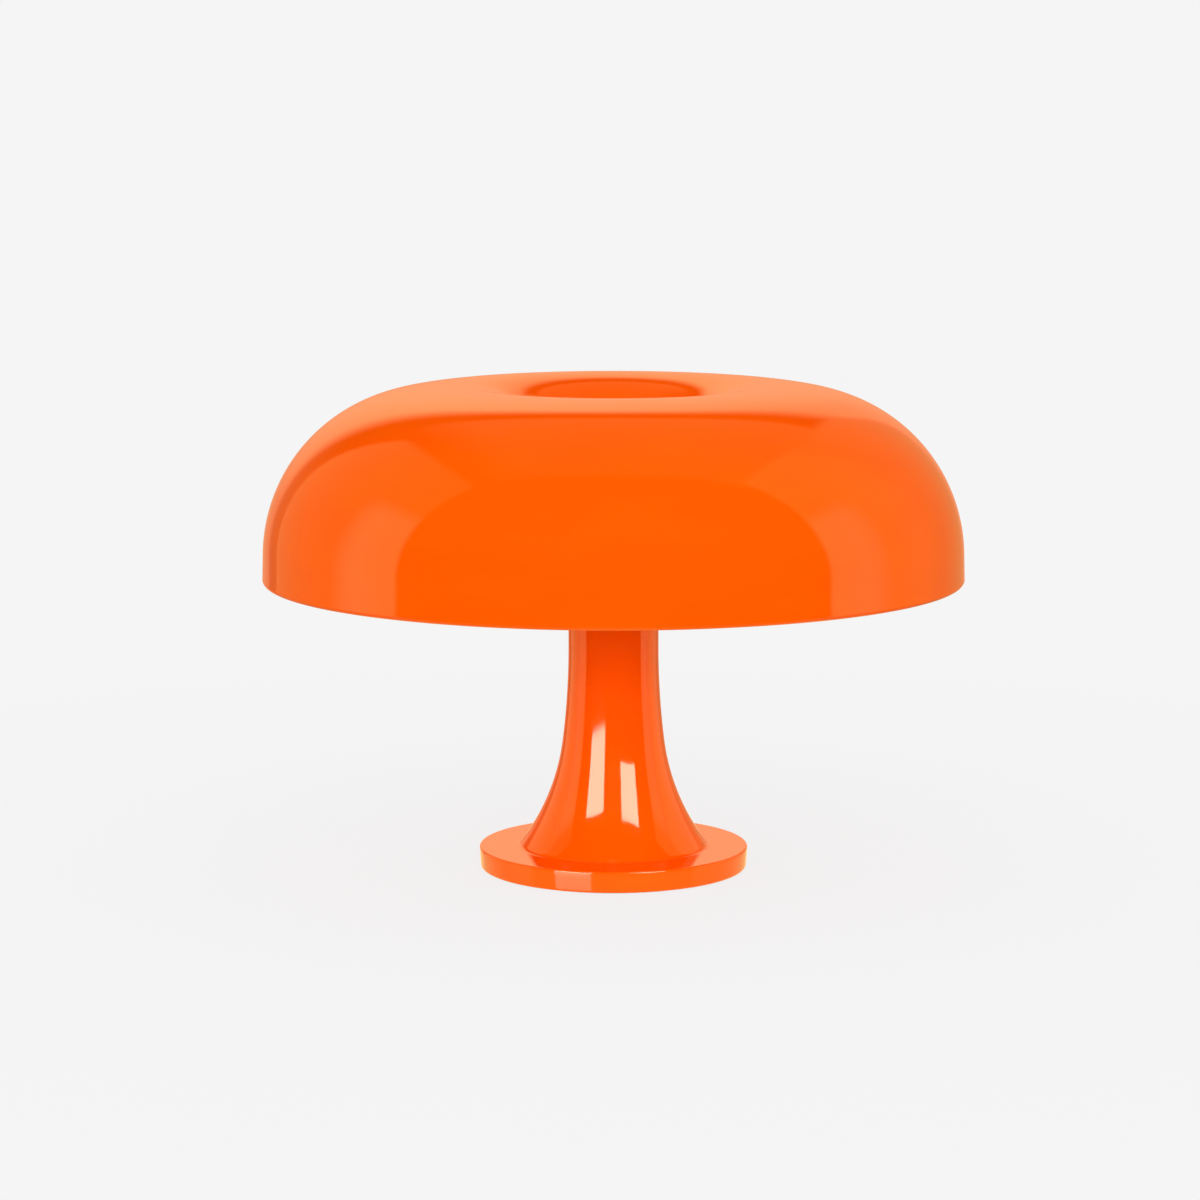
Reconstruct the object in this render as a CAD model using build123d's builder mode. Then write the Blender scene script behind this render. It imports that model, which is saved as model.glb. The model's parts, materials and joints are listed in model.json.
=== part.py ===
from build123d import *
import os
from math import asin, cos, degrees, pi, radians, sin, tan

os.makedirs("parts", exist_ok=True)

# Whole lamp, millimetres, origin on the table under the stem, front towards -Y
shade_diameter = 320.0
lamp_height = 223.0

# Shade: one moulding of even wall, arcs given on its outside face
shade_depth = 89.0
shade_wall = 3.0
wall_draft = 1.5
shoulder_radius = 76.4
shoulder_turn = 78.0
brow_radius = 139.0
dish_turn = 20.0
well_mouth_radius = 53.0
well_depth = 37.0
lip_radius = 34.5
funnel_lean = 12.0
funnel_root_radius = 4.0
rim_outer_round = 1.9
rim_inner_round = 0.8
rim_round_share = 0.92
shade_play = 0.25

# Foot and stem: one moulding, arcs given on its outside face
foot_radius = 61.8
foot_draft = 3.5
foot_height = 10.5
foot_lift = 0.6
foot_wall = 2.5
foot_top_round = 0.9
foot_bottom_round = 1.2
stem_radius = 20.65
stem_wall = 3.0
flare_rise = 92.5
flare_long_radius = 348.0
flare_long_turn = 7.2
flare_short_radius = 101.0
flare_root_round = 3.0

# Foot's underside: pad, plate, ballast and the posts that take the plate's screws
pad_thickness = 1.2
pad_margin = 4.0
plate_thickness = 1.2
plate_play = 0.3
ballast_radius = 54.0
ballast_thickness = 5.0
boss_radius = 16.0
boss_height = 22.0
boss_web = 4.0
pocket_radius = 11.0
post_count = 3
post_circle = 50.0
post_ring_turn = -90.0
post_radius = 3.6
post_play = 0.6
post_screw_depth = 5.0

# Cord inlet in the rear of the foot
inlet_bore = 5.6
inlet_barrel_wall = 0.6
inlet_collar_radius = 4.2
inlet_collar_depth = 1.0
inlet_tail = 2.5
inlet_play = 0.05
cord_slot_width = 8.0

# Terminal block on the bottom plate
block_width = 16.0
block_depth = 17.0
block_height = 12.0
block_front = 17.0
block_window_play = 1.0
block_round = 0.6
pole_pitch = 8.0
pole_radius = 2.3
pole_bore_radius = 1.6
pole_screw_radius = 1.4
pole_screw_spacing = 9.0
pole_screw_recess = 1.0

# Screws and threaded parts
screw_radius = 1.5
screw_head_radius = 2.8
countersink_angle = 90.0
pan_head_height = 1.0
slot_width = 0.7
slot_depth = 0.5
thread_play = 0.05
tube_radius = 5.0
tube_bore_radius = 4.0
tube_play = 0.15
tube_proud = 2.0
tube_stub = 0.5
nut_across_flats = 14.0
nut_height = 4.0
washer_radius = 9.0
washer_thickness = 1.0

# Lampholder hub on top of the stem
hub_half = 20.0
hub_corner = 8.0
hub_wall = 5.8
hub_inner_corner = 5.0
hub_floor = 3.0
spigot_depth = 8.0
spigot_wall = 3.5
spigot_play = 0.15
cap_thickness = 4.0
cap_screw_length = 10.0
cap_screw_offset = 15.2
cap_screw_hole_extra = 0.5
collar_radius = 12.0
collar_height = 14.0
collar_wall = 3.5
collar_roof = 2.0
collar_chamfer = 0.5
junction_half = 10.0
junction_round = 1.2
junction_chamfer = 0.6

# Lampholders, set square to each other round the hub
arm_count = 4
arm_rise = 17.0
holder_radius = 14.0
holder_length = 44.0
holder_back = 4.0
holder_bore_radius = 8.6
holder_round = 1.5
nipple_proud = 1.0
nipple_nut_height = 3.0
nipple_reach = 5.0
insert_depth = 16.0
insert_thickness = 4.0
insert_play = 0.1
shell_radius = 8.0
shell_thickness = 0.7
shell_length = 22.0
contact_radius = 2.0
contact_length = 3.5

# Bulbs
bulb_length = 78.0
globe_radius = 22.5
glass_wall = 1.0
neck_radius = 8.0
bulb_tip_radius = 2.4
bulb_tip_length = 1.0
insulator_length = 2.5
insulator_nose_radius = 3.0
cap_shell_radius = 6.95
cap_shell_wall = 0.5
cap_shell_length = 19.0
cap_seat_play = 0.1
neck_plug = 4.0

# Nut and washer that hold the shade down
shade_washer_radius = 19.0
shade_washer_thickness = 1.2
shade_nut_radius = 17.0
shade_nut_height = 13.0
shade_nut_crown = 2.3
shade_nut_play = 0.08
shade_nut_round = 1.6
flute_count = 12
flute_radius = 2.6
flute_bite = 1.0

# Leads inside the lamp
stem_lead_radius = 2.2
stem_lead_bend = 9.0
holder_lead_radius = 1.4
holder_lead_bend = 5.5
holder_lead_rise = 6.0
holder_lead_spacing = 7.0

# Levels and places that follow from the sizes above
shade_radius = shade_diameter / 2
rim_height = lamp_height - shade_depth
rim_shrink = min(1, rim_round_share * shade_wall / (rim_outer_round + rim_inner_round))
well_floor = lamp_height - well_depth
shade_seat = well_floor - shade_wall
hub_top = shade_seat - cap_thickness
arm_height = hub_top - holder_radius
stem_height = arm_height - arm_rise
hub_height = hub_top - stem_height
flare_height = foot_height + flare_rise
plate_top = pad_thickness + plate_thickness
foot_roof = foot_height - foot_wall
foot_sole_radius = foot_radius - (foot_height - foot_lift) * tan(radians(foot_draft))
foot_bore_radius = foot_sole_radius - foot_wall
ballast_bottom = foot_roof - ballast_thickness
lead_level = (plate_top + foot_roof) / 2
inlet_barrel_radius = inlet_bore / 2 + inlet_barrel_wall
inlet_start = foot_bore_radius - inlet_tail
inlet_face_radius = foot_radius - (foot_height - lead_level) * tan(radians(foot_draft))
inlet_end = inlet_face_radius + inlet_collar_depth
tube_bottom = boss_height - boss_web - washer_thickness - nut_height - tube_stub
hub_floor_top = stem_height + hub_floor
tube_top = hub_floor_top + washer_thickness + nut_height + tube_proud
hub_cavity_half = hub_half - hub_wall
junction_bottom = arm_height + holder_lead_rise
junction_height = hub_top - junction_bottom
insert_start = hub_half + insert_depth
insert_end = insert_start + insert_thickness
bulb_start = insert_end + contact_length
cap_start = bulb_start + bulb_tip_length + insulator_length
cap_end = cap_start + cap_shell_length
globe_centre = bulb_start + bulb_length - globe_radius
shade_hole_radius = collar_radius + shade_play
shade_nut_bottom = well_floor + shade_washer_thickness
arm_angles = [360 * index / arm_count for index in range(arm_count)]


def save(builder, name):
    """Label a finished piece and write it under the same name."""
    builder.part.label = name
    export_step(builder.part, f"parts/{name}.step")


def arm_plane(angle):
    """Plane through an arm's axis: local x runs outwards and local y runs up."""
    outwards = (cos(radians(angle)), sin(radians(angle)), 0)
    across = (sin(radians(angle)), -cos(radians(angle)), 0)
    return Plane(origin=(0, 0, arm_height), x_dir=outwards, z_dir=across)


def arm_end(angle, distance):
    """Plane square to an arm's axis, at a distance from the stem's centre."""
    outwards = Vector(cos(radians(angle)), sin(radians(angle)), 0)
    return Plane(origin=Vector(0, 0, arm_height) + outwards * distance, x_dir=(0, 0, 1), z_dir=outwards)


def arc_run(radius, start, end):
    """How far a left-hand arc between two headings moves outwards."""
    return radius * (sin(radians(end)) - sin(radians(start)))


def arc_rise(radius, start, end):
    """How far a left-hand arc between two headings moves up."""
    return radius * (cos(radians(start)) - cos(radians(end)))


# Headings of the shade's outline, degrees from straight outwards
wall_heading = 90 + wall_draft
brow_heading = wall_heading + shoulder_turn
crown_heading = 180
funnel_heading = 270 - funnel_lean

# The straight wall takes up what the arcs leave of the shade's depth
wall_rise = (
    shade_depth
    - arc_rise(shoulder_radius, wall_heading, brow_heading)
    - arc_rise(brow_radius, brow_heading, crown_heading)
)
wall_length = wall_rise / cos(radians(wall_draft))

# The dish is the arc that leaves the crown level and turns down to the well's mouth
crown_radius = (
    shade_radius
    - wall_rise * tan(radians(wall_draft))
    + arc_run(shoulder_radius, wall_heading, brow_heading)
    + arc_run(brow_radius, brow_heading, crown_heading)
)
dish_radius = (crown_radius - well_mouth_radius) / sin(radians(dish_turn))
lip_heading = crown_heading + dish_turn

# The funnel's straight side takes up what the arcs leave of the well's depth
funnel_drop = (
    well_depth
    + arc_rise(dish_radius, crown_heading, lip_heading)
    + arc_rise(lip_radius, lip_heading, funnel_heading)
    + arc_rise(funnel_root_radius, crown_heading, funnel_heading)
)
funnel_length = funnel_drop / cos(radians(funnel_lean))


def shade_outline(inset):
    """Shade from the rim, over the crown and down to the central hole, set in by inset."""
    rim = (shade_radius - inset / cos(radians(wall_draft)), rim_height)
    wall = PolarLine(rim, wall_length - inset * tan(radians(wall_draft)), wall_heading)
    shoulder = JernArc(wall @ 1, wall % 1, shoulder_radius - inset, shoulder_turn)
    brow = JernArc(shoulder @ 1, shoulder % 1, brow_radius - inset, crown_heading - brow_heading)
    dish = JernArc(brow @ 1, brow % 1, dish_radius - inset, dish_turn)
    lip = JernArc(dish @ 1, dish % 1, lip_radius - inset, funnel_heading - lip_heading)
    funnel = PolarLine(lip @ 1, funnel_length, funnel_heading)
    root = JernArc(funnel @ 1, funnel % 1, funnel_root_radius + inset, crown_heading - funnel_heading)
    floor = Line(root @ 1, (shade_hole_radius, (root @ 1).Y))
    return wall @ 0, floor @ 1


def stem_outline(inset, bottom):
    """Stem and flare from the stem's top down to a level, set in by inset."""
    stem = Line((stem_radius - inset, stem_height), (stem_radius - inset, flare_height))
    long_arc = JernArc(stem @ 1, stem % 1, flare_long_radius + inset, flare_long_turn)
    short_radius = flare_short_radius + inset
    drop = (long_arc @ 1).Y - bottom
    end_heading = degrees(asin(sin(radians(flare_long_turn)) + drop / short_radius))
    short_arc = JernArc(long_arc @ 1, long_arc % 1, short_radius, end_heading - flare_long_turn)
    return stem @ 0, short_arc @ 1


# Shade
with BuildPart() as shade:
    with BuildSketch(Plane.XZ) as shade_profile:
        with BuildLine():
            outer_rim, outer_hole = shade_outline(0)
            inner_rim, inner_hole = shade_outline(shade_wall)
            Line(outer_rim, inner_rim)
            Line(outer_hole, inner_hole)
        make_face()
        outer_corner = shade_profile.vertices().group_by(Axis.Y)[0].sort_by(Axis.X)[-1]
        fillet(outer_corner, rim_shrink * rim_outer_round)
        inner_corner = shade_profile.vertices().group_by(Axis.Y)[0].sort_by(Axis.X)[0]
        fillet(inner_corner, rim_shrink * rim_inner_round)
    revolve(axis=Axis.Z)
save(shade, "shade")

# Foot, flare and stem in one moulding, hollow from below
with BuildPart() as base_moulding:
    with BuildSketch(Plane.XZ) as base_profile:
        with BuildLine():
            stem_corner, flare_foot = stem_outline(0, foot_height)
            Polyline(
                flare_foot,
                (foot_radius, foot_height),
                (foot_sole_radius, foot_lift),
                (0, foot_lift),
                (0, stem_height),
                stem_corner,
            )
        make_face()
        fillet(base_profile.vertices().sort_by_distance(flare_foot)[0], flare_root_round)
        fillet(base_profile.vertices().sort_by_distance((foot_radius, foot_height))[0], foot_top_round)
        fillet(base_profile.vertices().sort_by_distance((foot_sole_radius, foot_lift))[0], foot_bottom_round)
    revolve(axis=Axis.Z)
    with BuildSketch(Plane.XZ):
        with BuildLine():
            bore_corner, roof_corner = stem_outline(stem_wall, foot_roof)
            Polyline(
                roof_corner,
                (foot_bore_radius, foot_roof),
                (foot_bore_radius, foot_lift),
                (0, foot_lift),
                (0, stem_height),
                bore_corner,
            )
        make_face()
    revolve(axis=Axis.Z, mode=Mode.SUBTRACT)
    with BuildSketch(Plane.XY.offset(plate_top)):
        with PolarLocations(post_circle, post_count, start_angle=post_ring_turn):
            Circle(post_radius)
    extrude(amount=foot_roof - plate_top)
    with Locations(Plane.XY.offset(plate_top)):
        with PolarLocations(post_circle, post_count, start_angle=post_ring_turn):
            Cylinder(
                screw_radius + thread_play,
                post_screw_depth,
                align=(Align.CENTER, Align.CENTER, Align.MIN),
                mode=Mode.SUBTRACT,
            )
    with BuildSketch(Plane.XZ.offset(-inlet_start)):
        with Locations((0, lead_level)):
            Circle(inlet_barrel_radius + inlet_play)
    extrude(amount=inlet_start - inlet_end, mode=Mode.SUBTRACT)
save(base_moulding, "base_moulding")

# Ballast disc with a raised boss for the tie tube, a window for the terminal block and a cord slot
with BuildPart() as ballast_weight:
    with BuildSketch(Plane.XY.offset(ballast_bottom)):
        Circle(ballast_radius)
    extrude(amount=ballast_thickness)
    with BuildSketch(Plane.XY.offset(ballast_bottom)):
        Circle(boss_radius)
    extrude(amount=boss_height - ballast_bottom)
    with BuildSketch(Plane.XY.offset(ballast_bottom)):
        Circle(pocket_radius)
    extrude(amount=boss_height - boss_web - ballast_bottom, mode=Mode.SUBTRACT)
    with BuildSketch(Plane.XY.offset(ballast_bottom)):
        Circle(tube_radius + tube_play)
        with PolarLocations(post_circle, post_count, start_angle=post_ring_turn):
            Circle(post_radius + post_play)
        with Locations((0, block_front - block_window_play)):
            Rectangle(
                block_width + 2 * block_window_play,
                block_depth + 2 * block_window_play,
                align=(Align.CENTER, Align.MIN),
            )
        with Locations((0, block_front + block_depth)):
            Rectangle(cord_slot_width, ballast_radius, align=(Align.CENTER, Align.MIN))
    extrude(amount=boss_height, mode=Mode.SUBTRACT)
    with BuildSketch(Plane.XY.offset(ballast_bottom)):
        Rectangle(cord_slot_width, block_front, align=(Align.CENTER, Align.MIN))
    extrude(amount=ballast_thickness, mode=Mode.SUBTRACT)
save(ballast_weight, "ballast_weight")

# Bottom plate, notched round the cord inlet
with BuildPart() as bottom_plate:
    with BuildSketch(Plane.XY.offset(pad_thickness)):
        Circle(foot_bore_radius - plate_play)
        with PolarLocations(post_circle, post_count, start_angle=post_ring_turn):
            Circle(screw_radius + tube_play, mode=Mode.SUBTRACT)
        with Locations((0, block_front + block_depth / 2)):
            Circle(screw_radius + thread_play, mode=Mode.SUBTRACT)
        with Locations((0, inlet_start - plate_play)):
            Rectangle(
                2 * (inlet_barrel_radius + plate_play),
                foot_radius,
                align=(Align.CENTER, Align.MIN),
                mode=Mode.SUBTRACT,
            )
    extrude(amount=plate_thickness)
save(bottom_plate, "bottom_plate")

# Pad that the lamp stands on, with holes that leave the plate's screws in reach
with BuildPart() as non_slip_pad:
    with BuildSketch():
        Circle(foot_radius - pad_margin)
        with PolarLocations(post_circle, post_count, start_angle=post_ring_turn):
            Circle(screw_head_radius + post_play, mode=Mode.SUBTRACT)
        with Locations((0, block_front + block_depth / 2)):
            Circle(screw_radius + post_play, mode=Mode.SUBTRACT)
    extrude(amount=pad_thickness)
save(non_slip_pad, "non_slip_pad")

# Pan-head screws up into the moulding's posts
with BuildPart() as bottom_plate_screws:
    with BuildSketch(Plane.XY.offset(pad_thickness - pan_head_height)):
        with PolarLocations(post_circle, post_count, start_angle=post_ring_turn):
            Circle(screw_head_radius)
            Rectangle(2 * screw_head_radius, slot_width, mode=Mode.SUBTRACT)
    extrude(amount=slot_depth)
    with BuildSketch(Plane.XY.offset(pad_thickness - pan_head_height + slot_depth)):
        with PolarLocations(post_circle, post_count, start_angle=post_ring_turn):
            Circle(screw_head_radius)
    extrude(amount=pan_head_height - slot_depth)
    with BuildSketch(Plane.XY.offset(pad_thickness)):
        with PolarLocations(post_circle, post_count, start_angle=post_ring_turn):
            Circle(screw_radius)
    extrude(amount=plate_thickness + post_screw_depth - slot_depth)
save(bottom_plate_screws, "bottom_plate_screws")

# Bush that lines the cord inlet, its collar hollowed to the foot's curve
with BuildPart() as inlet_bush:
    with BuildSketch(Plane.XZ.offset(-foot_bore_radius)):
        with Locations((0, lead_level)):
            Circle(inlet_collar_radius)
    extrude(amount=foot_bore_radius - inlet_end)
    with Locations((0, 0, lead_level)):
        Cone(
            inlet_face_radius - foot_height * tan(radians(foot_draft)),
            inlet_face_radius + foot_height * tan(radians(foot_draft)),
            2 * foot_height,
            mode=Mode.SUBTRACT,
        )
    with BuildSketch(Plane.XZ.offset(-inlet_start)):
        with Locations((0, lead_level)):
            Circle(inlet_barrel_radius)
    extrude(amount=inlet_start - inlet_end)
    with BuildSketch(Plane.XZ.offset(-inlet_start)):
        with Locations((0, lead_level)):
            Circle(inlet_bore / 2)
    extrude(amount=inlet_start - inlet_end, mode=Mode.SUBTRACT)
save(inlet_bush, "inlet_bush")

# Terminal block: two poles side by side, open front and back, screws reached from above
block_middle = block_front + block_depth / 2
pole_places = [(-pole_pitch / 2, 0), (pole_pitch / 2, 0)]
with BuildPart() as terminal_block:
    with BuildSketch(Plane.XY.offset(plate_top)):
        with Locations((0, block_middle)):
            Rectangle(block_width, block_depth)
    extrude(amount=block_height)
    fillet(terminal_block.edges().filter_by(Axis.Z), block_round)
    with BuildSketch(Plane.XZ.offset(-block_front)):
        with Locations((0, lead_level)):
            with Locations(*pole_places):
                Circle(pole_radius + thread_play)
    extrude(amount=-block_depth, mode=Mode.SUBTRACT)
    with BuildSketch(Plane.XY.offset(lead_level)):
        with Locations((0, block_middle)):
            with GridLocations(pole_pitch, pole_screw_spacing, 2, 2):
                Circle(pole_screw_radius + thread_play)
    extrude(amount=block_height, mode=Mode.SUBTRACT)
    with BuildSketch(Plane.XY.offset(plate_top)):
        with Locations((0, block_middle)):
            Circle(screw_radius + thread_play)
    extrude(amount=block_height, mode=Mode.SUBTRACT)
save(terminal_block, "terminal_block")

# Brass poles inside the block, bored for the cores and tapped for their screws
with BuildPart() as terminal_poles:
    with BuildSketch(Plane.XZ.offset(-block_front - block_round)):
        with Locations((0, lead_level)):
            with Locations(*pole_places):
                Circle(pole_radius)
                Circle(pole_bore_radius, mode=Mode.SUBTRACT)
    extrude(amount=-block_depth + 2 * block_round)
    with BuildSketch(Plane.XY.offset(lead_level)):
        with Locations((0, block_middle)):
            with GridLocations(pole_pitch, pole_screw_spacing, 2, 2):
                Circle(pole_screw_radius + thread_play)
    extrude(amount=block_height, mode=Mode.SUBTRACT)
save(terminal_poles, "terminal_poles")

# Clamp screws of the poles
pole_screw_top = plate_top + block_height - pole_screw_recess
with BuildPart() as terminal_screws:
    with BuildSketch(Plane.XY.offset(lead_level + pole_bore_radius - thread_play)):
        with Locations((0, block_middle)):
            with GridLocations(pole_pitch, pole_screw_spacing, 2, 2):
                Circle(pole_screw_radius)
    extrude(amount=pole_screw_top - lead_level - pole_bore_radius + thread_play)
    with BuildSketch(Plane.XY.offset(pole_screw_top - slot_depth)):
        with Locations((0, block_middle)):
            with GridLocations(pole_pitch, pole_screw_spacing, 2, 2):
                Rectangle(2 * pole_screw_radius, slot_width)
    extrude(amount=slot_depth, mode=Mode.SUBTRACT)
save(terminal_screws, "terminal_screws")

# Screw that holds the block down on the plate
with BuildPart() as terminal_block_screw:
    with BuildSketch(Plane.XY.offset(plate_top + block_height)):
        with Locations((0, block_middle)):
            Circle(screw_head_radius)
    extrude(amount=pan_head_height)
    with BuildSketch(Plane.XY.offset(plate_top + block_height + pan_head_height - slot_depth)):
        with Locations((0, block_middle)):
            Rectangle(2 * screw_head_radius, slot_width)
    extrude(amount=slot_depth, mode=Mode.SUBTRACT)
    with BuildSketch(Plane.XY.offset(pad_thickness)):
        with Locations((0, block_middle)):
            Circle(screw_radius)
    extrude(amount=plate_thickness + block_height)
save(terminal_block_screw, "terminal_block_screw")

# Hollow threaded tube that ties ballast, stem and hub together
with BuildPart() as tie_tube:
    with BuildSketch(Plane.XY.offset(tube_bottom)):
        Circle(tube_radius)
        Circle(tube_bore_radius, mode=Mode.SUBTRACT)
    extrude(amount=tube_top - tube_bottom)
save(tie_tube, "tie_tube")


def washer(level, name):
    """Flat washer round the tie tube, its underside at a level."""
    with BuildPart() as piece:
        with BuildSketch(Plane.XY.offset(level)):
            Circle(washer_radius)
            Circle(tube_radius + tube_play, mode=Mode.SUBTRACT)
        extrude(amount=washer_thickness)
    save(piece, name)


def hexagon_nut(level, name):
    """Hexagon nut on the tie tube, its underside at a level."""
    with BuildPart() as piece:
        with BuildSketch(Plane.XY.offset(level)):
            RegularPolygon(nut_across_flats / 2, 6, major_radius=False)
            Circle(tube_radius + thread_play, mode=Mode.SUBTRACT)
        extrude(amount=nut_height)
    save(piece, name)


washer(boss_height - boss_web - washer_thickness, "ballast_washer")
hexagon_nut(boss_height - boss_web - washer_thickness - nut_height, "ballast_nut")
washer(hub_floor_top, "hub_washer")
hexagon_nut(hub_floor_top + washer_thickness, "hub_nut")

# Hub that carries the lampholders: a square box on a round spigot
cap_screw_hole_depth = cap_screw_length - cap_thickness + cap_screw_hole_extra
with BuildPart() as lampholder_hub:
    with BuildSketch(Plane.XY.offset(stem_height)):
        RectangleRounded(2 * hub_half, 2 * hub_half, hub_corner)
    extrude(amount=hub_height)
    with BuildSketch(Plane.XY.offset(hub_floor_top)):
        RectangleRounded(2 * hub_cavity_half, 2 * hub_cavity_half, hub_inner_corner)
    extrude(amount=hub_top - hub_floor_top, mode=Mode.SUBTRACT)
    with BuildSketch(Plane.XY.offset(stem_height)):
        Circle(stem_radius - stem_wall - spigot_play)
        Circle(stem_radius - stem_wall - spigot_play - spigot_wall, mode=Mode.SUBTRACT)
    extrude(amount=-spigot_depth)
    with BuildSketch(Plane.XY.offset(stem_height)):
        Circle(tube_radius + tube_play)
    extrude(amount=hub_floor, mode=Mode.SUBTRACT)
    with BuildSketch(Plane.XY.offset(hub_top - cap_screw_hole_depth)):
        with GridLocations(2 * cap_screw_offset, 2 * cap_screw_offset, 2, 2):
            Circle(screw_radius + thread_play)
    extrude(amount=cap_screw_hole_depth, mode=Mode.SUBTRACT)
    for angle in arm_angles:
        with BuildSketch(arm_end(angle, 0)):
            Circle(tube_radius + tube_play)
        extrude(amount=2 * hub_half, mode=Mode.SUBTRACT)
save(lampholder_hub, "lampholder_hub")

# Cap of the hub, with the hollow collar that the shade drops over
with BuildPart() as hub_cap:
    with BuildSketch(Plane.XY.offset(hub_top)):
        RectangleRounded(2 * hub_half, 2 * hub_half, hub_corner)
    extrude(amount=cap_thickness)
    with BuildSketch(Plane.XY.offset(shade_seat)):
        Circle(collar_radius)
    extrude(amount=collar_height)
    with BuildSketch(Plane.XY.offset(hub_top)):
        Circle(collar_radius - collar_wall)
    extrude(amount=cap_thickness + collar_height - collar_roof, mode=Mode.SUBTRACT)
    chamfer(hub_cap.edges().group_by(Axis.Z)[-1], collar_chamfer)
    with Locations(Plane.XY.offset(shade_seat)):
        with GridLocations(2 * cap_screw_offset, 2 * cap_screw_offset, 2, 2):
            CounterSinkHole(
                screw_radius + thread_play,
                screw_head_radius + thread_play,
                counter_sink_angle=countersink_angle,
            )
save(hub_cap, "hub_cap")

# Countersunk screws of the cap, slotted, heads flush
with BuildPart() as hub_cap_screws:
    with BuildSketch(Plane.XY.offset(shade_seat)):
        with GridLocations(2 * cap_screw_offset, 2 * cap_screw_offset, 2, 2):
            Circle(screw_radius)
    extrude(amount=-cap_screw_length)
    with Locations(Plane.XY.offset(shade_seat)):
        with GridLocations(2 * cap_screw_offset, 2 * cap_screw_offset, 2, 2):
            Cone(
                screw_radius,
                screw_head_radius,
                (screw_head_radius - screw_radius) / tan(radians(countersink_angle / 2)),
                align=(Align.CENTER, Align.CENTER, Align.MAX),
            )
    with BuildSketch(Plane.XY.offset(shade_seat)):
        with GridLocations(2 * cap_screw_offset, 2 * cap_screw_offset, 2, 2):
            Rectangle(2 * screw_head_radius, slot_width)
    extrude(amount=-slot_depth, mode=Mode.SUBTRACT)
save(hub_cap_screws, "hub_cap_screws")

# Block under the cap where the lampholders' leads meet the stem's lead
with BuildPart() as junction_block:
    with BuildSketch(Plane.XY.offset(junction_bottom)):
        RectangleRounded(2 * junction_half, 2 * junction_half, junction_round)
    extrude(amount=junction_height)
    chamfer(junction_block.edges().group_by(Axis.Z)[0], junction_chamfer)
save(junction_block, "junction_block")

# Threaded nipples that carry the lampholders, and the nuts inside the hub
nipple_start = hub_cavity_half - nipple_nut_height - nipple_proud
with BuildPart() as lampholder_nipples:
    for angle in arm_angles:
        with BuildSketch(arm_end(angle, nipple_start)):
            Circle(tube_radius)
            Circle(tube_bore_radius, mode=Mode.SUBTRACT)
        extrude(amount=hub_half + holder_back + nipple_reach - nipple_start)
save(lampholder_nipples, "lampholder_nipples")

with BuildPart() as nipple_nuts:
    for angle in arm_angles:
        with BuildSketch(arm_end(angle, hub_cavity_half)):
            RegularPolygon(nut_across_flats / 2, 6, major_radius=False)
            Circle(tube_radius + thread_play, mode=Mode.SUBTRACT)
        extrude(amount=-nipple_nut_height)
save(nipple_nuts, "nipple_nuts")

# Lampholders: sleeve with a threaded back, insulating insert, threaded shell and sprung contact
with BuildPart() as lampholder_inserts:
    for angle in arm_angles:
        with BuildSketch(arm_end(angle, insert_start)):
            Circle(holder_bore_radius - insert_play)
        extrude(amount=insert_thickness)
save(lampholder_inserts, "lampholder_inserts")

with BuildPart() as lampholder_shells:
    for angle in arm_angles:
        with BuildSketch(arm_end(angle, insert_end)):
            Circle(shell_radius)
            Circle(shell_radius - shell_thickness, mode=Mode.SUBTRACT)
        extrude(amount=shell_length)
save(lampholder_shells, "lampholder_shells")

with BuildPart() as lampholder_contacts:
    for angle in arm_angles:
        with BuildSketch(arm_end(angle, insert_end)):
            Circle(contact_radius)
        extrude(amount=contact_length)
save(lampholder_contacts, "lampholder_contacts")

neck_to_globe = globe_centre - cap_end
neck_flare_radius = (neck_to_globe**2 + neck_radius**2 - globe_radius**2) / (2 * (globe_radius - neck_radius))
flare_meet = globe_radius / (globe_radius + neck_flare_radius)
cap_bore_radius = cap_shell_radius - cap_shell_wall


def globe_outline(inset):
    """Bulb's glass from its neck to the tip, set in by inset, in an arm's plane."""
    meet_x = globe_centre - neck_to_globe * flare_meet
    meet_y = (neck_radius + neck_flare_radius) * flare_meet
    shrink = (globe_radius - inset) / globe_radius
    neck = (cap_end, neck_radius - inset)
    meet = (globe_centre - (globe_centre - meet_x) * shrink, meet_y * shrink)
    tip = (globe_centre + globe_radius - inset, 0)
    RadiusArc(neck, meet, neck_flare_radius + inset)
    JernArc(tip, (0, 1), globe_radius - inset, 180 - degrees(asin(meet[1] / (globe_radius - inset))))
    return neck, tip


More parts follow.
